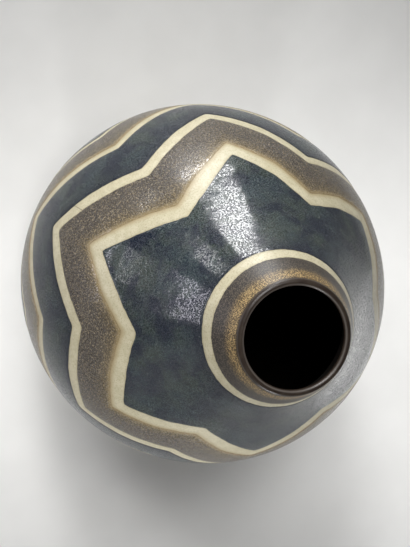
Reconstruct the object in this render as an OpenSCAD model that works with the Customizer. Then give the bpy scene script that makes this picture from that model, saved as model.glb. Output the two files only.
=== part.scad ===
// Stoneware vase with zigzag glaze bands.
// An egg-shaped body rises in a hollow curve to a small mouth with a rounded lip. It stands on
// a foot ring. The clay is made in four luted pieces, and each field of glaze is a thin coat
// of its own that fits against its neighbours. Millimetres, +Z up, origin under the foot.

/* [Body] */
// Widest diameter, over the glaze
body_d = 220; // [200:1:240]
// Height of the widest level above the table
belly_h = 122; // [110:1:134]
// Diameter of the glazed body at its base
base_d = 105.2; // [96:0.2:114]
// Fullness of the shoulder: how much the curve leans in where it turns into the hollow of the
// neck, against the straight line from the widest level to the lip
fullness = 1.71; // [1.6:0.01:1.8]
// Thickness of the clay wall
wall = 7; // [5:0.5:9]
// Thickness of the clay floor
floor_t = 9; // [7:0.5:12]
// Height of the lap where the bowl and the shoulder overlap
lap_h = 6; // [3:0.5:10]

/* [Neck and lip] */
// Height of the whole vase
total_h = 305; // [275:1:335]
// Outside diameter of the lip
lip_d = 58.4; // [55:0.2:62]
// Diameter of the mouth
mouth_d = 51.2; // [47:0.2:53]

/* [Foot] */
// Distance of the foot ring inside the edge of the glazed base
foot_in = 4.6; // [3.2:0.2:8]
// Radial width of the foot ring
foot_w = 9; // [6:0.5:14]
// Height of the floor's underside above the table
foot_h = 4; // [3:0.5:6]
// Depth to which the foot ring is let into the floor
foot_seat = 2; // [1:0.5:4]
// Bevel on the foot ring's lower edges
foot_bevel = 1; // [0.5:0.25:1.5]

/* [Glaze] */
// Thickness of the glaze coats outside
glaze = 0.8; // [0.6:0.1:1.2]
// Thickness of the glaze coat inside
liner = 0.6; // [0.4:0.1:1]
// Height of the speckled band under the lip
neck_band_h = 16.8; // [12:0.2:20]
// Height of the cream ring round the neck
neck_ring_h = 6.4; // [4:0.2:9]
// Height of the plain band above the foot
foot_band_h = 9; // [6:0.5:11]
// Height of the cream ring above the foot band
foot_line_h = 4; // [3:0.5:5]

/* [Zigzag] */
// Points of each zigzag line
zig_n = 6; // [5:1:8]
// Direction of the first inward corner, in degrees from +X
zig_phase = 245.5; // [0:0.5:360]
// Width of the cream zigzag lines at the widest level
line_w = 7.2; // [5:0.2:8]

/* [Hidden] */
$fn = 180;
belly_r = body_d / 2;
lip_r = lip_d / 2;
mouth_r = mouth_d / 2;
lip_bead = (lip_r - mouth_r) / 2;
lip_edge = total_h - lip_bead;
ring_top = lip_edge - neck_band_h;
ring_base = ring_top - neck_ring_h;
foot_band_top = foot_h + foot_band_h;
foot_line_top = foot_band_top + foot_line_h;
inside = glaze + wall;
floor_top = foot_h + floor_t;
seat_top = foot_h + foot_seat;

// The straight line from the widest level to the lip's edge, and the angles of the surface
// above level: lean is the line's own, neck_turn is where the round curve turns hollow
rise = lip_edge - belly_h;
run = belly_r - lip_r;
lean = atan2(run, rise);
neck_turn = atan2(fullness * run, rise);
// The hollow curve ends parallel to that line, which gives the radius of the curve below it
hollow_share = (cos(neck_turn - lean) - cos(lean)) / (1 - cos(neck_turn - lean));
upper_arc = run / (1 - cos(neck_turn) + hollow_share * (cos(lean) - cos(neck_turn)));
// Below the widest level one curve runs in to the base
base_run = belly_r - base_d / 2;
lower_arc = (base_run * base_run + (belly_h - foot_h) * (belly_h - foot_h)) / (2 * base_run);
foot_r = base_d / 2 - foot_in;

// Centres of the body's two arcs, level with the widest place
upper_x = belly_r - upper_arc;
lower_x = belly_r - lower_arc;
// The way from the upper arc's centre to the place where the curve turns hollow
turn_way = [cos(neck_turn), sin(neck_turn)];
// Straight steps that stand for each of the outline's curves, about 6 mm long
lower_steps = 24;
upper_steps = 18;
neck_steps = 14;

// Each cream line's middle, as angles from the axis at the belly's centre: first at its inward
// corners, then at its points. The third number is its share of the usual width
LINE_ANGLES = [[31.2, 45.8, 1.2], [48.6, 66.9, 1.08], [68.6, 89.2, 1],
               [87.8, 107.8, 1], [107, 123.5, 1], [123, 136, 1]];
// The painter's wander at each corner, in degrees round the axis and down from the neck
WANDER_ANGLES = [[-1, 0], [-2, 0], [-3.5, 0.3], [-3, 0], [-1.5, 4], [-3.5, 5],
                 [1, 3.2], [1, 0.3], [1, 1.2], [2.5, 0], [0.5, 0], [1.2, 0]];
// How far the middle of each stroke hangs below its straight way, in degrees
SAG_ANGLES = [0.2, 1.6, 1.6, 1.2, 0.8, 0.8, 0.8, 0.8, 0.8, 0.9, 0.4, 0.3];
// Half of a line's width as an angle, with the slant of the line allowed for
line_slant = 34;
line_half = line_w / 2 / belly_r / cos(line_slant) * 180 / PI;
// Share of the width that is left at the inward corners
corner_share = 0.8;
// Length of the cutting pyramids' edges, well clear of the body
cut_reach = 10 * body_d;

CLAY = "#b9a68c";
CREAM = "#d6c9a2";
BLUE = "#2f3d49";
BROWN = "#5f5343";
DARK = "#1d1512";

// Radius of the hollow arc that leaves the upper arc at neck_turn and passes the lip's edge
function neck_arc(upper, edge_r) =
    let (edge = [edge_r - upper_x, lip_edge - belly_h], along = edge * turn_way)
    (edge * edge - 2 * upper * along + upper * upper) / (2 * (along - upper));

// The wander fades from the neck down to the foot
function fading(line) = (7 - line) / 6;
function stray(k) = WANDER_ANGLES[k % (2 * zig_n) % len(WANDER_ANGLES)];

// Corners of a cream line, counted round the vase by k: angles round the axis and down from it
function corner_round(k) = zig_phase - 180 / zig_n * k + stray(k)[0];
function corner_down(line, k) = LINE_ANGLES[line - 1][k % 2] + stray(k)[1] * fading(line);

// Angle down to the middle of the stroke from corner k to the next
function middle_down(line, k) =
    let (turn = (corner_round(k) - corner_round(k + 1)) / 2)
    let (sum = 1 / tan(corner_down(line, k)) + 1 / tan(corner_down(line, k + 1)))
    atan2(2 * cos(turn), sum) + SAG_ANGLES[k % len(SAG_ANGLES)] * fading(line);

// A corner of one edge of a cream line, and the middle of the stroke after it.
// The edge's side is -1 towards the neck and 1 towards the foot
function ray(round, down) =
    cut_reach * [sin(down) * cos(round), sin(down) * sin(round), cos(down)];
function edge_marks(line, k, side) =
    let (half = side * line_half * LINE_ANGLES[line - 1][2])
    let (share = k % 2 == 0 ? corner_share : 1)
    [ray(corner_round(k), corner_down(line, k) + half * share),
     ray((corner_round(k) + corner_round(k + 1)) / 2, middle_down(line, k) + half)];

// Points of an arc, without its first one
function arc(centre, radius, from, to, steps) =
    [for (i = [1 : steps]) let (way = from + (to - from) * i / steps)
        centre + radius * [cos(way), sin(way)]];

// Half of the vase's outline at a depth below the glazed surface: from a base level up to the
// widest level, then on to where the curve turns hollow, then on to the lip's edge
function lower_line(depth, base) =
    let (radius = lower_arc - depth, start = asin((base - belly_h) / radius))
    concat([[lower_x + radius * cos(start), base]],
           arc([lower_x, belly_h], radius, start, 0, lower_steps));
function upper_line(depth) =
    arc([upper_x, belly_h], upper_arc - depth, 0, neck_turn, upper_steps);
function neck_line(depth, edge_r) =
    let (upper = upper_arc - depth, radius = neck_arc(upper, edge_r))
    let (hub = [upper_x, belly_h] + (upper + radius) * turn_way)
    let (end = asin((hub[1] - lip_edge) / radius))
    concat(arc(hub, radius, 180 + neck_turn, 180 + end, neck_steps - 1), [[edge_r, lip_edge]]);
function body_line(depth, base) = concat(lower_line(depth, base), upper_line(depth));
function whole_line(depth, edge_r, base) =
    concat(body_line(depth, base), neck_line(depth, edge_r));
function last(points) = points[len(points) - 1];
function back(points) = [for (i = [len(points) - 1 : -1 : 0]) points[i]];

// Section of the clay wall and floor, without the collar
module clay_section() {
    polygon(concat([[0, foot_h]], body_line(glaze, foot_h), back(body_line(inside, floor_top)),
                   [[0, floor_top]]));
}

// Side of the lap joint that belongs to the bowl
module bowl_side() {
    lap_r = belly_r - glaze - wall / 2;
    polygon([[0, 0], [body_d, 0], [body_d, belly_h], [lap_r, belly_h],
             [lap_r, belly_h + lap_h], [0, belly_h + lap_h]]);
}

// The whole glaze coat outside
module coat() {
    rotate_extrude() polygon(concat(whole_line(0, lip_r, foot_h),
                                    back(whole_line(glaze, lip_r - glaze, foot_h))));
}

// A belt of the coat between two levels
module belt(low, high) {
    intersection() {
        coat();
        translate([0, 0, low]) cylinder(r = body_d, h = high - low);
    }
}

// Everything on the neck's side of one edge of a cream line
module above(line, side) {
    count = 4 * zig_n;
    ring = [for (k = [0 : 2 * zig_n - 1]) each edge_marks(line, k, side)];
    sides = [for (k = [0 : count - 1]) [0, 2 + (k + 1) % count, 2 + k]];
    lid = [for (k = [0 : count - 1]) [1, 2 + k, 2 + (k + 1) % count]];
    translate([0, 0, belly_h])
        polyhedron(concat([[0, 0, 0], [0, 0, cut_reach]], ring), concat(sides, lid));
}

// One cream line of the coat
module zigzag_line(line) {
    color(CREAM) difference() {
        intersection() {
            coat();
            above(line, 1);
        }
        above(line, -1);
    }
}

// The field of the coat between one cream line and the next
module zigzag_band(line) {
    difference() {
        intersection() {
            coat();
            above(line + 1, -1);
        }
        above(line, 1);
    }
}

module foot_ring() {
    top = seat_top;
    color(CLAY) rotate_extrude() translate([foot_r - foot_w, 0])
        polygon([[foot_bevel, 0], [foot_w - foot_bevel, 0], [foot_w, foot_bevel], [foot_w, top],
                 [0, top], [0, foot_bevel]]);
}

module bowl() {
    color(CLAY) rotate_extrude() difference() {
        intersection() {
            clay_section();
            bowl_side();
        }
        translate([foot_r - foot_w, foot_h]) square([foot_w, foot_seat]);
    }
}

module shoulder() {
    color(CLAY) rotate_extrude() difference() {
        clay_section();
        bowl_side();
    }
}

module neck_collar() {
    outer = concat([last(upper_line(glaze))], neck_line(glaze, lip_r - glaze));
    inner = concat([last(upper_line(inside))], neck_line(inside, mouth_r + liner));
    color(CLAY) rotate_extrude() polygon(concat(outer, back(inner)));
}

module liner_glaze() {
    outer = whole_line(inside, mouth_r + liner, floor_top);
    inner = whole_line(inside + liner, mouth_r, floor_top + liner);
    color(DARK) rotate_extrude()
        polygon(concat([[0, floor_top]], outer, back(inner), [[0, floor_top + liner]]));
}

module lip_glaze() {
    color(DARK) rotate_extrude() translate([mouth_r + lip_bead, lip_edge]) intersection() {
        circle(lip_bead);
        translate([-lip_bead, 0]) square([2 * lip_bead, lip_bead]);
    }
}

module neck_band() {
    color(BROWN) belt(ring_top, lip_edge);
}

module neck_ring() {
    color(CREAM) belt(ring_base, ring_top);
}

module star_field() {
    color(BLUE) intersection() {
        belt(0, ring_base);
        above(1, -1);
    }
}

module brown_band(line) {
    color(BROWN) zigzag_band(line);
}

module blue_band(line) {
    color(BLUE) zigzag_band(line);
}

module lower_field() {
    color(BLUE) difference() {
        belt(foot_line_top, total_h);
        above(6, 1);
    }
}

module foot_line() {
    color(CREAM) belt(foot_band_top, foot_line_top);
}

module foot_band() {
    color(BROWN) belt(foot_h, foot_band_top);
}

foot_ring();
bowl();
shoulder();
neck_collar();
liner_glaze();
lip_glaze();
neck_band();
neck_ring();
star_field();
zigzag_line(1);  // zigzag_line_1
brown_band(1);  // brown_band_1
zigzag_line(2);  // zigzag_line_2
blue_band(2);  // blue_band_1
zigzag_line(3);  // zigzag_line_3
brown_band(3);  // brown_band_2
zigzag_line(4);  // zigzag_line_4
blue_band(4);  // blue_band_2
zigzag_line(5);  // zigzag_line_5
brown_band(5);  // brown_band_3
zigzag_line(6);  // zigzag_line_6
lower_field();
foot_line();
foot_band();
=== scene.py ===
"""Looks of the zigzag vase: thin glaze coats over the clay, studio light and the camera."""

import math

import bpy
import numpy as np
from mathutils import Matrix, Quaternion, Vector


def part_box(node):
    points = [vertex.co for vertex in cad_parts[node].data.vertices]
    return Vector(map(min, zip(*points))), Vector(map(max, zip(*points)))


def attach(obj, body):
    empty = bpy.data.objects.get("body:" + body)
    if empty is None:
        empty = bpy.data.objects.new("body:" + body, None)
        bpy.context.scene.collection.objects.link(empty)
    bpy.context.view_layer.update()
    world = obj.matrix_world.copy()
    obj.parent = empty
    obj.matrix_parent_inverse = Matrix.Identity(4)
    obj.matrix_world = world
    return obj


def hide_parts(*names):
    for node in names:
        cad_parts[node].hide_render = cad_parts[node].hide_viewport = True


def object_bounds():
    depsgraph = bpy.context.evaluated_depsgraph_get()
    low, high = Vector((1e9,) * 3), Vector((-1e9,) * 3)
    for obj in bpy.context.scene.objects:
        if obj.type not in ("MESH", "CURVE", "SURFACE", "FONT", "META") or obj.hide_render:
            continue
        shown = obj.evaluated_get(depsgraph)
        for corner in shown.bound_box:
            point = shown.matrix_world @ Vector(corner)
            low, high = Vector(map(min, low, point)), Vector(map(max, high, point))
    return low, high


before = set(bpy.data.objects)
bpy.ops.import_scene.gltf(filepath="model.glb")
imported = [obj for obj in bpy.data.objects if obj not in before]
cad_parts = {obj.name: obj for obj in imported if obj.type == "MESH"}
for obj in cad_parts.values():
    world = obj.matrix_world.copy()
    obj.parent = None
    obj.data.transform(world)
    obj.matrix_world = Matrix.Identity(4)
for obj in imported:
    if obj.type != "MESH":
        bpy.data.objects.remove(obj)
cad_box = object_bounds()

# Sizes in millimetres, as in the CAD model
MM = 0.001
BELLY_R = 110.0
BELLY_H = 122.0
BASE_R = 52.6
FULLNESS = 1.71
GLAZE = 0.8
LINER = 0.6
WALL = 7.0
FLOOR_T = 9.0
ZIG_N = 6
ZIG_PHASE = 245.5
LINE_W = 7.2
LINE_SLANT = math.radians(34)


def level(node, end):
    """Height of a node's lower (0) or upper (1) end."""
    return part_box(node)[end][2] / MM


TOTAL_H = cad_box[1][2] / MM
LIP_EDGE = level("lip_glaze", 0)
RING_TOP = level("neck_ring", 1)
RING_BASE = level("neck_ring", 0)
FOOT_LINE_TOP = level("foot_line", 1)
FOOT_BAND_TOP = level("foot_line", 0)
FOOT_H = level("foot_band", 0)
LIP_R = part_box("lip_glaze")[1][0] / MM
LIP_BEAD = TOTAL_H - LIP_EDGE
MOUTH_R = LIP_R - 2 * LIP_BEAD

# Curves of the body, from its widths and heights as in the CAD model
RISE = LIP_EDGE - BELLY_H
RUN = BELLY_R - LIP_R
LEAN = math.atan2(RUN, RISE)
NECK_TURN = math.atan2(FULLNESS * RUN, RISE)
HOLLOW_SHARE = (math.cos(NECK_TURN - LEAN) - math.cos(LEAN)) / (1 - math.cos(NECK_TURN - LEAN))
UPPER_ARC = RUN / (1 - math.cos(NECK_TURN) + HOLLOW_SHARE * (math.cos(LEAN) - math.cos(NECK_TURN)))
BASE_RUN = BELLY_R - BASE_R
LOWER_ARC = (BASE_RUN ** 2 + (BELLY_H - FOOT_H) ** 2) / (2 * BASE_RUN)
# Angles down from the axis between which the outer and the inner surface are searched
SEARCH_START = math.radians(5)
SEARCH_END = math.radians(160)
SEARCH_STEPS = 4000
HOLLOW_END = math.radians(178)

# Each cream line's middle as angles from the axis, at its inward corners and at its points,
# and its share of the usual width
LINES = [(31.2, 45.8, 1.2), (48.6, 66.9, 1.08), (68.6, 89.2, 1.0),
         (87.8, 107.8, 1.0), (107.0, 123.5, 1.0), (123.0, 136.0, 1.0)]
# The painter's wander at each corner, in degrees round the axis and down from the neck
WANDER = [(-1, 0), (-2, 0), (-3.5, 0.3), (-3, 0), (-1.5, 4), (-3.5, 5),
          (1, 3.2), (1, 0.3), (1, 1.2), (2.5, 0), (0.5, 0), (1.2, 0)]
# How far the middle of each stroke hangs below its straight way, in degrees
SAG = [0.2, 1.6, 1.6, 1.2, 0.8, 0.8, 0.8, 0.8, 0.8, 0.9, 0.4, 0.3]
LINE_HALF = LINE_W / 2 / BELLY_R / math.cos(LINE_SLANT)
CORNER_SHARE = 0.8
STROKE_SLANT = math.cos(math.radians(38))

# The bands between the cream lines, from the neck down
BANDS = ["brown_band_1", "blue_band_1", "brown_band_2", "blue_band_2", "brown_band_3"]

# Finish of the coats: roundness, dip and sink of the edges and the brush's wobble, in millimetres
EDGE_ROUND = 0.9
EDGE_DIP = 0.12
LINE_SINK = 0.12
BRUSH_WOBBLE = 0.36
RING_WOBBLE = 0.12
FOOT_WOBBLE = 0.3
# Waves of a drawn edge: how many run round the vase and their size, and how their phases differ
EDGE_WAVES = [(7, 0.35), (19, 0.3), (37, 0.2), (61, 0.2), (97, 0.15)]
WAVE_PHASE = 1.7
WAVE_PHASE_STEP = 2.3
# A corner is softened over this angle to each side, by the mean of a few places
CORNER_SOFT = math.radians(0.6)
CORNER_PLACES = (-1, -0.5, 0, 0.5, 1)

# Fineness of the meshes: points from corner to corner, rows down each coat, every so many rows on its
# back, and points round and along the turned pieces
STEPS = 30
NECK_ROWS = 22
STAR_ROWS = 60
BAND_ROWS = 30
LINE_ROWS = 10
FOOT_ROWS = 14
BACK_ROWS_EVERY = 3
LINER_COUNT = 180
LINER_POINTS = 60
LIP_COUNT = 240
LIP_POINTS = 17
SHARP_ANGLE = math.radians(50)

# A hairline crack across one cream line, and the lines that the brown glaze below has run into
CRACKED = "zigzag_line_2"
CRACK_TURN = math.radians(267.7)
SOFT_EDGED = ("zigzag_line_1", "zigzag_line_3", "zigzag_line_5")
FAR = 60.0

# Where the painted highlight on the lip's rounded rim lies, as an angle over the lip from its inner
# edge
RIM_HIGHLIGHT_ANGLE = math.radians(55)

# Half the floor's width in metres, the colour and light of the room and the light of the pale backdrop,
# and where the far floor's glow starts and is full
FLOOR_REACH = 3.0
ROOM_COLOUR = (0.97, 0.98, 1.0, 1.0)
ROOM_LIGHT = 0.07
BACKDROP = 0.3
GLOW_START = 0.36
GLOW_FULL = 0.8

# Lamps: angles round the vase and up, distance, the point aimed at, cone, radius and power,
# in degrees, metres and watts
LAMPS = {
    "key": (-136, 62, 1.6, (0.15, 0.13, 0.0), 31, 0.24, 37),
    "low_key": (-134, 40, 1.8, (0.12, 0.14, 0.0), 26, 0.2, 57),
    "side_key": (-114, 41, 1.8, (0.12, 0.14, 0.0), 26, 0.2, 27),
    "left_pool": (-60, 84, 1.2, (0.11, -0.11, 0.0), 17, 0.1, 18),
    "right_pool": (100, 84, 1.2, (-0.08, 0.31, 0.0), 28, 0.1, 29),
    "far_pool": (170, 82, 1.2, (-0.27, 0.0, 0.0), 30, 0.1, 4),
    "fill": (25, 8, 1.2, (0.0, 0.0, 0.17), 15, 0.15, 110),
}

# Panels that the glaze mirrors: shape, angles round the vase, up and of roll, width, height and power,
# in degrees, metres and watts
PANELS = {
    "upper_panel": ("ELLIPSE", -145.5, -12.2, 0, 0.35, 0.11, 3.0),
    "small_panel": ("ELLIPSE", -112, -10.5, 0, 0.2, 0.04, 0.29),
    "left_panel": ("RECTANGLE", -73, -11.4, -4, 0.45, 0.034, 0.68),
    "far_panel": ("RECTANGLE", -79, -3.4, 0, 0.26, 0.011, 0.15),
    "low_panel": ("RECTANGLE", -20, -15.7, 0, 0.4, 0.14, 0.09),
    "right_panel": ("ELLIPSE", 100, -34, 20, 0.28, 0.1, 0.012),
}
# The height that the panels face and their distance from there, in metres
PANEL_AIM = 0.24
PANEL_REACH = 0.75
# The left panel is lilac, and the right one stands close and keeps its light off the floor
PANEL_COLOURS = {"left_panel": (0.93, 0.90, 1.0)}
PANEL_REACHES = {"right_panel": 0.33}
PANEL_SPREADS = {"right_panel": math.radians(100)}

# Camera: the vase's axis seen from the lens, and the belly's centre in the picture
AXIS_TILT = math.radians(17.37)
AXIS_TURN = math.radians(-28.99)
CAMERA_OFFSET = (3.97, 4.96, 761.7)
LENS_MM = 80.0
SENSOR_MM = 36.0


# Shape of the glazed surface

def neck_arc(upper, edge_r):
    """Radius of the hollow arc that leaves the upper arc at NECK_TURN and passes the lip's edge."""
    edge = np.array([edge_r - (BELLY_R - UPPER_ARC), LIP_EDGE - BELLY_H])
    along = edge @ np.array([math.cos(NECK_TURN), math.sin(NECK_TURN)])
    return (edge @ edge - 2 * upper * along + upper * upper) / (2 * (along - upper))


def arcs(depth, edge_r):
    """Centres and radii of the lower, upper and neck arcs, seen from the belly's centre."""
    upper = UPPER_ARC - depth
    neck = neck_arc(upper, edge_r)
    upper_x = BELLY_R - UPPER_ARC
    neck_x = upper_x + (upper + neck) * math.cos(NECK_TURN)
    neck_z = (upper + neck) * math.sin(NECK_TURN)
    return ((BELLY_R - LOWER_ARC, 0.0, LOWER_ARC - depth), (upper_x, 0.0, upper),
            (neck_x, neck_z, neck))


def surface(down, depth=0.0, edge_r=LIP_R):
    """Radius, height and outward normal of the surface at angles down from the axis."""
    lower, upper, neck = arcs(depth, edge_r)
    turn_r = upper[0] + upper[2] * math.cos(NECK_TURN)
    turn_z = upper[2] * math.sin(NECK_TURN)
    turn_down = math.atan2(turn_r, turn_z)

    def cross(arc, side):
        b = arc[0] * np.sin(down) + arc[1] * np.cos(down)
        c = arc[0] ** 2 + arc[1] ** 2 - arc[2] ** 2
        reach = b + side * np.sqrt(np.maximum(b * b - c, 0.0))
        r = reach * np.sin(down)
        z = reach * np.cos(down)
        return r, z, side * (r - arc[0]) / arc[2], side * (z - arc[1]) / arc[2]

    parts = [np.where(down < turn_down, n, np.where(down < math.pi / 2, u, w))
             for n, u, w in zip(cross(neck, -1), cross(upper, 1), cross(lower, 1))]
    return parts[0], parts[1] + BELLY_H, parts[2], parts[3]


def down_at(height):
    """Angle down from the axis at which the surface has a height."""
    angles = np.linspace(SEARCH_START, SEARCH_END, SEARCH_STEPS)
    heights = surface(angles)[1]
    return float(np.interp(-height, -heights, angles))


# Edges of the glaze fields

def fading(line):
    """Share of the painter's wander that a line has: it fades towards the foot."""
    return (len(LINES) + 1 - line) / len(LINES)


def corner(line, k):
    """Angles down from the axis and round it of a corner of a cream line."""
    stray = WANDER[k % len(WANDER)]
    down = LINES[line - 1][k % 2] + stray[1] * fading(line)
    turn = ZIG_PHASE - 180 / ZIG_N * k + stray[0]
    return math.radians(down), math.radians(turn)


def edge_marks(line, side):
    """Corners of one edge of a cream line and the middles of its strokes, in turn."""
    half = side * LINE_HALF * LINES[line - 1][2]
    marks = []
    for k in range(2 * ZIG_N):
        down_a, turn_a = corner(line, k)
        down_b, turn_b = corner(line, k + 1)
        rise = 1 / math.tan(down_a) + 1 / math.tan(down_b)
        middle = math.atan2(2 * math.cos((turn_a - turn_b) / 2), rise)
        middle += math.radians(SAG[k]) * fading(line)
        share = CORNER_SHARE if k % 2 == 0 else 1.0
        marks.append((down_a + half * share, turn_a))
        marks.append((middle + half, (turn_a + turn_b) / 2))
    return marks


def spokes():
    """Angles round the axis, with every corner of the zigzag among them."""
    count = 2 * ZIG_N
    out = []
    for k in range(count):
        start = corner(1, k)[1]
        end = corner(1, (k + 1) % count)[1]
        span = (end - start) % (-2 * math.pi)
        out += [start + span * i / STEPS for i in range(STEPS)]
    return np.array(out[::-1])


def zigzag(marks, turns):
    """Angle down to an edge that runs straight over the body from mark to mark."""
    full = 2 * math.pi
    out = np.zeros(len(turns))
    for (down_a, turn_a), (down_b, turn_b) in zip(marks, marks[1:] + marks[:1]):
        span = (turn_a - turn_b) % full
        offset = (turn_a - turns) % full
        rise = np.sin(span - offset) / math.tan(down_a) + np.sin(offset) / math.tan(down_b)
        out = np.where(offset <= span + 1e-9, np.arctan2(math.sin(span), rise), out)
    return out


def wobble(turns, seed):
    """Slow and quick unevenness of a drawn edge, between about -1 and 1."""
    out = np.zeros(len(turns))
    for order, (count, size) in enumerate(EDGE_WAVES):
        phase = WAVE_PHASE * seed + WAVE_PHASE_STEP * order * seed
        out += size * np.sin(count * turns + phase)
    return out


def line_edge(line, side):
    """Edge of a cream line: side -1 is towards the neck, 1 towards the foot."""
    marks = edge_marks(line, side)

    def at(turns):
        soft = [zigzag(marks, turns + CORNER_SOFT * place) for place in CORNER_PLACES]
        return sum(soft) / len(soft) + BRUSH_WOBBLE / BELLY_R * wobble(turns, 2 * line + side)
    return at


def ring_edge(height, uneven=0.0):
    """Edge that runs level round the vase."""
    def at(turns):
        return down_at(height) + uneven / BELLY_R * wobble(turns, height)
    return at


# Meshes

def add_object(name, verts, faces, material):
    """A smooth-shaded mesh object from points in millimetres."""
    mesh = bpy.data.meshes.new(name)
    mesh.from_pydata((np.asarray(verts) * MM).tolist(), [], faces)
    mesh.polygons.foreach_set("use_smooth", [True] * len(mesh.polygons))
    mesh.set_sharp_from_angle(angle=SHARP_ANGLE)
    mesh.materials.append(material)
    obj = bpy.data.objects.new(name, mesh)
    bpy.context.scene.collection.objects.link(obj)
    return obj


def add_values(obj, name, values):
    """One number per point of a mesh, for its material to read."""
    layer = obj.data.attributes.new(name, "FLOAT", "POINT")
    layer.data.foreach_set("value", np.asarray(values, dtype=np.float32))


def quads(first, second, count):
    """Faces between two rings of points, each given by its first point's number."""
    return [(first + i, second + i, second + (i + 1) % count, first + (i + 1) % count)
            for i in range(count)]


def wear(obj, node):
    """Puts a piece in the place of the CAD node of the same name."""
    obj.name = node + "_coat"
    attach(obj, "root")
    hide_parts(node)


def turned(r, z, turns):
    """Points of a grid of radii and heights, whose columns stand at angles round the axis."""
    return np.stack([r * np.cos(turns), r * np.sin(turns), z], axis=-1).reshape(-1, 3)


def coat(name, top, base, rows, material, sink=0.0, slant=1.0):
    """A closed thin coat of glaze between two edges, which replaces its CAD node."""
    turns = spokes()
    count = len(turns)
    share = 0.5 - 0.5 * np.cos(np.linspace(0, math.pi, rows))
    start = top(turns)
    down = start[None, :] + share[:, None] * (base(turns) - start)[None, :]
    r, z, nr, nz = surface(down)
    step = np.hypot(np.diff(r, axis=0), np.diff(z, axis=0))
    from_top = slant * np.vstack([np.zeros(count), np.cumsum(step, axis=0)])
    from_base = from_top[-1] - from_top
    dip = np.exp(-(from_top / EDGE_ROUND) ** 2) + np.exp(-(from_base / EDGE_ROUND) ** 2)
    lift = -sink - EDGE_DIP * dip
    back_rows = sorted(set(list(range(0, rows, BACK_ROWS_EVERY)) + [rows - 1]))
    skin = turned(r + nr * lift, z + nz * lift, turns)
    back = turned((r - nr * GLAZE)[back_rows], (z - nz * GLAZE)[back_rows], turns)
    first_back = rows * count
    last_back = first_back + (len(back_rows) - 1) * count
    faces = []
    for ring in range(0, first_back - count, count):
        faces += quads(ring, ring + count, count)
    for ring in range(first_back, last_back, count):
        faces += quads(ring + count, ring, count)
    faces += quads(first_back, 0, count)
    faces += quads(first_back - count, last_back, count)
    obj = add_object(name, np.vstack([skin, back]), faces, material)
    values = {"from_top": from_top, "from_base": from_base}
    if material.name == "cream_slip":
        around = (turns - CRACK_TURN + math.pi) % (2 * math.pi) - math.pi
        clear = np.full(r.shape, FAR)
        values["from_crack"] = np.clip(around * r, -FAR, FAR) if name == CRACKED else clear
        values["from_brown"] = from_base if name in SOFT_EDGED else clear
    for key, grid in values.items():
        add_values(obj, key, np.concatenate([grid.ravel(), grid[back_rows].ravel()]))
    wear(obj, name)


def lathe(name, outline, count, material):
    """A closed turned piece from its section's outline, which runs once round the section."""
    turns = np.linspace(0, 2 * math.pi, count, endpoint=False)
    verts = []
    rings = []
    for r, z in outline:
        around = turns if r > 0 else turns[:1]
        rings.append((len(verts), r > 0))
        verts += [(r * math.cos(t), r * math.sin(t), z) for t in around]
    faces = []
    for (a, a_open), (b, b_open) in zip(rings, rings[1:] + rings[:1]):
        if a_open and b_open:
            faces += quads(a, b, count)
        elif a_open:
            faces += [(a + i, b, a + (i + 1) % count) for i in range(count)]
        elif b_open:
            faces += [(a, b + i, b + (i + 1) % count) for i in range(count)]
    obj = add_object(name, verts, faces, material)
    wear(obj, name)
    return obj


# Materials

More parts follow.
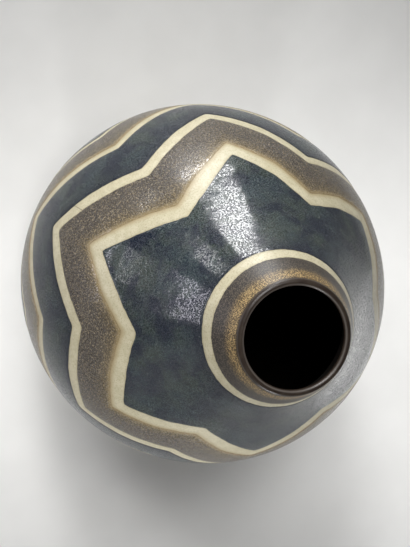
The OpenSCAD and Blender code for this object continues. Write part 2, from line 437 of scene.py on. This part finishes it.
class Paint:
    """A material in the making: its nodes, its shader and a few shapes of node."""

    def __init__(self, name, specular=0.5):
        self.material = bpy.data.materials.new(name)
        self.material.use_nodes = True
        self.nodes = self.material.node_tree.nodes
        self.links = self.material.node_tree.links
        self.shader = self.nodes["Principled BSDF"]
        self.shader.inputs["Specular IOR Level"].default_value = specular
        self.where = self.nodes.new("ShaderNodeTexCoord").outputs["Object"]

    def noise(self, size_mm, detail=2.0, rough=0.5):
        """Cloudy values with features of about a size."""
        node = self.nodes.new("ShaderNodeTexNoise")
        node.inputs["Scale"].default_value = 1 / (size_mm * MM)
        node.inputs["Detail"].default_value = detail
        node.inputs["Roughness"].default_value = rough
        self.links.new(self.where, node.inputs["Vector"])
        return node.outputs["Fac"]

    def value(self, name):
        """A number that the mesh carries."""
        node = self.nodes.new("ShaderNodeAttribute")
        node.attribute_name = name
        return node.outputs["Fac"]

    def span(self, socket, low, high, out_low=0.0, out_high=1.0):
        """A value stretched from one range to another, and held at its ends."""
        node = self.nodes.new("ShaderNodeMapRange")
        node.interpolation_type = "SMOOTHSTEP"
        node.inputs["From Min"].default_value = low
        node.inputs["From Max"].default_value = high
        node.inputs["To Min"].default_value = out_low
        node.inputs["To Max"].default_value = out_high
        self.links.new(socket, node.inputs["Value"])
        return node.outputs["Result"]

    def math(self, operation, a, b):
        """Two values joined by a sum, product or the like."""
        node = self.nodes.new("ShaderNodeMath")
        node.operation = operation
        for socket, given in zip(node.inputs, (a, b)):
            if isinstance(given, float):
                socket.default_value = given
            else:
                self.links.new(given, socket)
        return node.outputs["Value"]

    def blend(self, share, a, b):
        """Two colours mixed by a value."""
        node = self.nodes.new("ShaderNodeMix")
        node.data_type = "RGBA"
        self.links.new(share, node.inputs["Factor"])
        for name, given in (("A", a), ("B", b)):
            socket = [s for s in node.inputs if s.name == name and s.type == "RGBA"][0]
            if isinstance(given, tuple):
                socket.default_value = (*given, 1.0)
            else:
                self.links.new(given, socket)
        return [s for s in node.outputs if s.type == "RGBA"][0]

    def clouds(self, size_mm, low, high, a, b, detail=3.0):
        """Two colours that drift into each other in clouds of about a size."""
        return self.blend(self.span(self.noise(size_mm, detail, 0.6), low, high), a, b)

    def pitted_skin(self, pits):
        """Height of a glaze with fine pits on slow waves."""
        waves = self.math("MULTIPLY", self.noise(5.0, 1.5), 0.8)
        return self.math("ADD", pits, waves)

    def finish(self, colour, roughness, height=None, depth_mm=0.0):
        """Joins colour, roughness and bump to the shader and gives the material."""
        self.links.new(colour, self.shader.inputs["Base Color"])
        if isinstance(roughness, float):
            self.shader.inputs["Roughness"].default_value = roughness
        else:
            self.links.new(roughness, self.shader.inputs["Roughness"])
        if height is not None:
            bump = self.nodes.new("ShaderNodeBump")
            bump.inputs["Strength"].default_value = 1.0
            bump.inputs["Distance"].default_value = depth_mm * MM
            self.links.new(height, bump.inputs["Height"])
            self.links.new(bump.outputs["Normal"], self.shader.inputs["Normal"])
        return self.material


def blue_glaze():
    """Glossy slate blue with greenish clouds, pale flecks, navy patches and a dark upper edge."""
    paint = Paint("slate_blue", 0.4)
    colour = paint.clouds(20, 0.38, 0.62, (0.006, 0.014, 0.023), (0.014, 0.021, 0.015))
    flecks = paint.span(paint.noise(0.7, 1.0, 0.6), 0.48, 0.60)
    colour = paint.blend(flecks, colour, (0.054, 0.071, 0.069))
    patches = paint.span(paint.noise(13, 4.0, 0.65), 0.42, 0.62, 0.0, 0.85)
    colour = paint.blend(patches, colour, (0.003, 0.006, 0.018))
    edge = paint.span(paint.value("from_top"), 0.0, 12.0, 0.65, 0.0)
    colour = paint.blend(edge, colour, (0.005, 0.007, 0.017))
    pits = paint.span(paint.noise(0.75, 1.0, 0.6), 0.42, 0.52)
    gloss = paint.span(pits, 0.1, 1.0, 0.36, 0.11)
    return paint.finish(colour, gloss, paint.pitted_skin(pits), 0.1)


def brown_glaze():
    """Speckled brown that turns ochre towards the cream line above it."""
    paint = Paint("speckled_brown")
    speck = paint.span(paint.noise(0.9, 2.0, 0.65), 0.50, 0.66)
    ground = paint.clouds(18, 0.35, 0.65, (0.038, 0.031, 0.026), (0.054, 0.044, 0.034))
    colour = paint.blend(speck, ground, (0.22, 0.180, 0.118))
    from_line = paint.value("from_top")
    glow = paint.span(from_line, 1.0, 12.0, 0.8, 0.0)
    ochre = paint.blend(speck, (0.086, 0.064, 0.032), (0.28, 0.215, 0.115))
    colour = paint.blend(glow, colour, ochre)
    bleed = paint.span(from_line, 0.0, 3.5, 0.8, 0.0)
    colour = paint.blend(bleed, colour, (0.27, 0.205, 0.105))
    pits = paint.span(paint.noise(0.75, 1.5, 0.7), 0.42, 0.54)
    gloss = paint.span(pits, 0.1, 1.0, 0.45, 0.2)
    return paint.finish(colour, gloss, paint.pitted_skin(pits), 0.1)


def cream_glaze():
    """Matt cream with fine specks, stained edges, brown runs and the hairline crack."""
    paint = Paint("cream_slip")
    colour = paint.clouds(6, 0.35, 0.65, (0.43, 0.39, 0.26), (0.49, 0.45, 0.315))
    grain = paint.noise(0.8, 2.0, 0.6)
    specks = paint.span(grain, 0.50, 0.64, 0.0, 0.45)
    colour = paint.blend(specks, colour, (0.24, 0.195, 0.12))
    near_edge = paint.math("MINIMUM", paint.value("from_top"), paint.value("from_base"))
    stain = paint.span(near_edge, 0.0, 1.3, 0.5, 0.0)
    colour = paint.blend(stain, colour, (0.25, 0.20, 0.11))
    run = paint.span(paint.value("from_brown"), 0.0, 4.0, 0.75, 0.0)
    colour = paint.blend(run, colour, (0.29, 0.22, 0.11))
    from_crack = paint.math("ABSOLUTE", paint.value("from_crack"), 0.0)
    crack = paint.span(from_crack, 0.12, 0.42, 0.65, 0.0)
    colour = paint.blend(crack, colour, (0.09, 0.07, 0.045))
    return paint.finish(colour, paint.span(grain, 0.3, 0.7, 0.34, 0.48), grain, 0.08)


def neck_glaze():
    """Grey-brown grain that turns to gold towards the lip, with a dark line under the lip."""
    paint = Paint("golden_brown", 0.35)
    grain = paint.noise(0.65, 1.5, 0.65)
    speck = paint.span(grain, 0.46, 0.60)
    from_lip = paint.value("from_top")
    gold = paint.span(from_lip, 4.0, 11.0, 1.0, 0.0)
    ground = paint.blend(speck, (0.019, 0.015, 0.013), (0.095, 0.078, 0.058))
    golden = paint.blend(speck, (0.062, 0.041, 0.017), (0.40, 0.28, 0.125))
    colour = paint.blend(gold, ground, golden)
    dark = paint.span(from_lip, 0.0, 1.8, 1.0, 0.0)
    colour = paint.blend(dark, colour, (0.026, 0.018, 0.013))
    return paint.finish(colour, paint.span(grain, 0.3, 0.7, 0.34, 0.46), grain, 0.1)


def lip_glaze():
    """Dark brown, with a paler ring painted on the rim's rounding as a highlight."""
    paint = Paint("dark_lip", 0.35)
    colour = paint.clouds(6, 0.35, 0.65, (0.024, 0.016, 0.012), (0.036, 0.026, 0.019))
    # Painted highlight: a paler ring along the rounded rim, near its inner edge
    rim_highlight = paint.span(paint.value("from_rim"), 0.0, 0.9, 0.8, 0.0)
    colour = paint.blend(rim_highlight, colour, (0.125, 0.108, 0.095))
    grain = paint.noise(0.9)
    return paint.finish(colour, paint.span(grain, 0.3, 0.7, 0.28, 0.4), grain, 0.03)


def liner_glaze():
    """Nearly black coat inside."""
    paint = Paint("dark_inside")
    colour = paint.clouds(14, 0.35, 0.65, (0.009, 0.007, 0.006), (0.016, 0.012, 0.009))
    return paint.finish(colour, 0.35, paint.noise(1.5), 0.05)


def fired_clay():
    """Bare buff clay with dark grains."""
    paint = Paint("fired_clay")
    colour = paint.clouds(12, 0.35, 0.65, (0.42, 0.32, 0.22), (0.52, 0.41, 0.29), 4.0)
    grog = paint.span(paint.noise(1.1, 2.0, 0.7), 0.62, 0.72)
    colour = paint.blend(grog, colour, (0.20, 0.14, 0.09))
    return paint.finish(colour, 0.85, paint.noise(0.8, 3.0, 0.7), 0.05)


def floor_paper():
    """Pale paper that glows softly far out, where the lamps' pools end."""
    paint = Paint("floor_paper")
    fibre = paint.span(paint.noise(40), 0.3, 0.7)
    colour = paint.blend(fibre, (0.88, 0.875, 0.855), (0.91, 0.905, 0.885))
    reach = paint.nodes.new("ShaderNodeVectorMath")
    reach.operation = "LENGTH"
    paint.links.new(paint.where, reach.inputs[0])
    glow = paint.span(reach.outputs["Value"], GLOW_START, GLOW_FULL, 0.0, BACKDROP)
    paint.shader.inputs["Emission Color"].default_value = (1.0, 1.0, 1.0, 1.0)
    paint.links.new(glow, paint.shader.inputs["Emission Strength"])
    return paint.finish(colour, 0.9)


# Building

def build_coats():
    """Every field of glaze outside, from the lip down to the foot."""
    cream = cream_glaze()
    blue = blue_glaze()
    brown = brown_glaze()
    ring_top = ring_edge(RING_TOP, RING_WOBBLE)
    ring_base = ring_edge(RING_BASE, RING_WOBBLE)
    coat("neck_band", ring_edge(LIP_EDGE), ring_top, NECK_ROWS, neck_glaze())
    coat("neck_ring", ring_top, ring_base, LINE_ROWS, cream, LINE_SINK)
    coat("star_field", ring_base, line_edge(1, -1), STAR_ROWS, blue)
    for line in range(1, len(LINES) + 1):
        coat("zigzag_line_%d" % line, line_edge(line, -1), line_edge(line, 1), LINE_ROWS,
             cream, LINE_SINK, STROKE_SLANT)
    for line, node in enumerate(BANDS, 1):
        is_brown = node.startswith("brown")
        paint = brown if is_brown else blue
        coat(node, line_edge(line, 1), line_edge(line + 1, -1), BAND_ROWS, paint,
             0.0, STROKE_SLANT)
    foot_line_top = ring_edge(FOOT_LINE_TOP, FOOT_WOBBLE)
    foot_band_top = ring_edge(FOOT_BAND_TOP, FOOT_WOBBLE)
    coat("lower_field", line_edge(len(LINES), 1), foot_line_top, BAND_ROWS, blue)
    coat("foot_line", foot_line_top, foot_band_top, LINE_ROWS, cream, LINE_SINK)
    coat("foot_band", foot_band_top, ring_edge(FOOT_H), FOOT_ROWS, brown)


def inner_outline(depth, edge_r, floor_z):
    """Section of a hollow from the lip's edge down to the middle of its floor."""
    top = math.atan2(edge_r, LIP_EDGE - BELLY_H)
    angles = np.linspace(top, HOLLOW_END, SEARCH_STEPS // 2)
    r, z, _, _ = surface(angles, depth, edge_r)
    keep = z > floor_z
    pick = np.linspace(0, keep.sum() - 1, LINER_POINTS).astype(int)
    wall = [(float(a), float(b)) for a, b in zip(r[keep][pick], z[keep][pick])]
    return wall + [(wall[-1][0], floor_z), (0.0, floor_z)]


def build_inside():
    """The dark coat inside and the rounded lip."""
    inside = GLAZE + WALL
    floor_top = FOOT_H + FLOOR_T
    hollow = inner_outline(inside + LINER, MOUTH_R, floor_top + LINER)
    backing = inner_outline(inside, MOUTH_R + LINER, floor_top)
    lathe("liner_glaze", hollow[::-1] + backing, LINER_COUNT, liner_glaze())
    middle = MOUTH_R + LIP_BEAD
    sweep = np.linspace(0, math.pi, LIP_POINTS)
    bead = [(middle - LIP_BEAD * math.cos(a), LIP_EDGE + LIP_BEAD * math.sin(a)) for a in sweep]
    lip = lathe("lip_glaze", bead[::-1], LIP_COUNT, lip_glaze())
    # Distance over the lip from the middle of the painted highlight on the rim
    from_rim = np.abs(LIP_BEAD * (sweep - RIM_HIGHLIGHT_ANGLE))
    add_values(lip, "from_rim", np.repeat(from_rim[::-1], LIP_COUNT))


def dress_clay():
    """The clay pieces keep their CAD shapes and get a fired-clay finish."""
    clay = fired_clay()
    for node in ("foot_ring", "bowl", "shoulder", "neck_collar"):
        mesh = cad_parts[node].data
        mesh.materials.clear()
        mesh.materials.append(clay)


def build_floor():
    """A wide level floor under the foot."""
    size = FLOOR_REACH
    corners = [(-size, -size, 0), (size, -size, 0), (size, size, 0), (-size, size, 0)]
    mesh = bpy.data.meshes.new("floor")
    mesh.from_pydata(corners, [], [(0, 1, 2, 3)])
    mesh.materials.append(floor_paper())
    floor = bpy.data.objects.new("floor", mesh)
    bpy.context.scene.collection.objects.link(floor)


# Light and camera

def hang(light, turn, rise, distance, aim, roll=0):
    """Hangs a light round a point and above it, facing that point and out of the camera's sight."""
    around = math.radians(turn)
    up = math.radians(rise)
    way = Vector((math.cos(around) * math.cos(up), math.sin(around) * math.cos(up), math.sin(up)))
    lean = Quaternion((0, 0, 1), math.radians(roll))
    obj = bpy.data.objects.new(light.name, light)
    obj.location = Vector(aim) + way * distance
    obj.rotation_euler = (way.to_track_quat("Z", "Y") @ lean).to_euler()
    obj.visible_camera = False
    bpy.context.scene.collection.objects.link(obj)


def build_lamps():
    """Lamps with soft pools of light on the floor, and one that fills the vase's shaded side."""
    for name, (turn, rise, distance, aim, cone, radius, power) in LAMPS.items():
        light = bpy.data.lights.new(name, "SPOT")
        light.spot_size = math.radians(cone)
        light.spot_blend = 1.0
        light.shadow_soft_size = radius
        light.energy = power
        hang(light, turn, rise, distance, aim)


def build_panels():
    """Soft panels round the vase's shoulder, for the highlights on the glaze."""
    for name, (shape, turn, rise, roll, width, height, power) in PANELS.items():
        light = bpy.data.lights.new(name, "AREA")
        light.shape = shape
        light.size = width
        light.size_y = height
        light.energy = power
        light.color = PANEL_COLOURS.get(name, (1, 1, 1))
        light.spread = PANEL_SPREADS.get(name, math.pi)
        hang(light, turn, rise, PANEL_REACHES.get(name, PANEL_REACH), (0, 0, PANEL_AIM), roll)


def build_room():
    """Dim light from all round, with a paler backdrop where the camera looks past the floor."""
    world = bpy.data.worlds.new("room")
    world.use_nodes = True
    nodes = world.node_tree.nodes
    links = world.node_tree.links
    room = nodes["Background"]
    room.inputs["Color"].default_value = ROOM_COLOUR
    seen = nodes.new("ShaderNodeMapRange")
    seen.inputs["To Min"].default_value = ROOM_LIGHT
    seen.inputs["To Max"].default_value = BACKDROP + ROOM_LIGHT
    links.new(nodes.new("ShaderNodeLightPath").outputs["Is Camera Ray"], seen.inputs["Value"])
    links.new(seen.outputs["Result"], room.inputs["Strength"])
    bpy.context.scene.world = world
    bpy.context.scene.view_settings.view_transform = "Standard"


def build_camera():
    """The lens that took the photograph, with the upright vase turned under it."""
    tilt, turn = AXIS_TILT, AXIS_TURN
    axis = Vector((math.sin(tilt) * math.cos(turn), math.sin(tilt) * math.sin(turn), math.cos(tilt)))
    lean = Vector((math.cos(turn) * math.cos(tilt), math.sin(turn) * math.cos(tilt), -math.sin(tilt)))
    side = axis.cross(lean)
    to_vase = Matrix((lean, side, axis))
    quarter = Matrix.Rotation(math.pi / 2, 3, "Z")
    data = bpy.data.cameras.new("camera")
    data.lens = LENS_MM
    data.sensor_width = SENSOR_MM
    camera = bpy.data.objects.new("camera", data)
    place = quarter @ to_vase @ Vector(CAMERA_OFFSET) + Vector((0, 0, BELLY_H))
    camera.matrix_world = Matrix.Translation(place * MM) @ (quarter @ to_vase).to_4x4()
    bpy.context.scene.collection.objects.link(camera)
    bpy.context.scene.camera = camera


build_coats()
build_inside()
dress_clay()
build_floor()
build_lamps()
build_panels()
build_room()
build_camera()
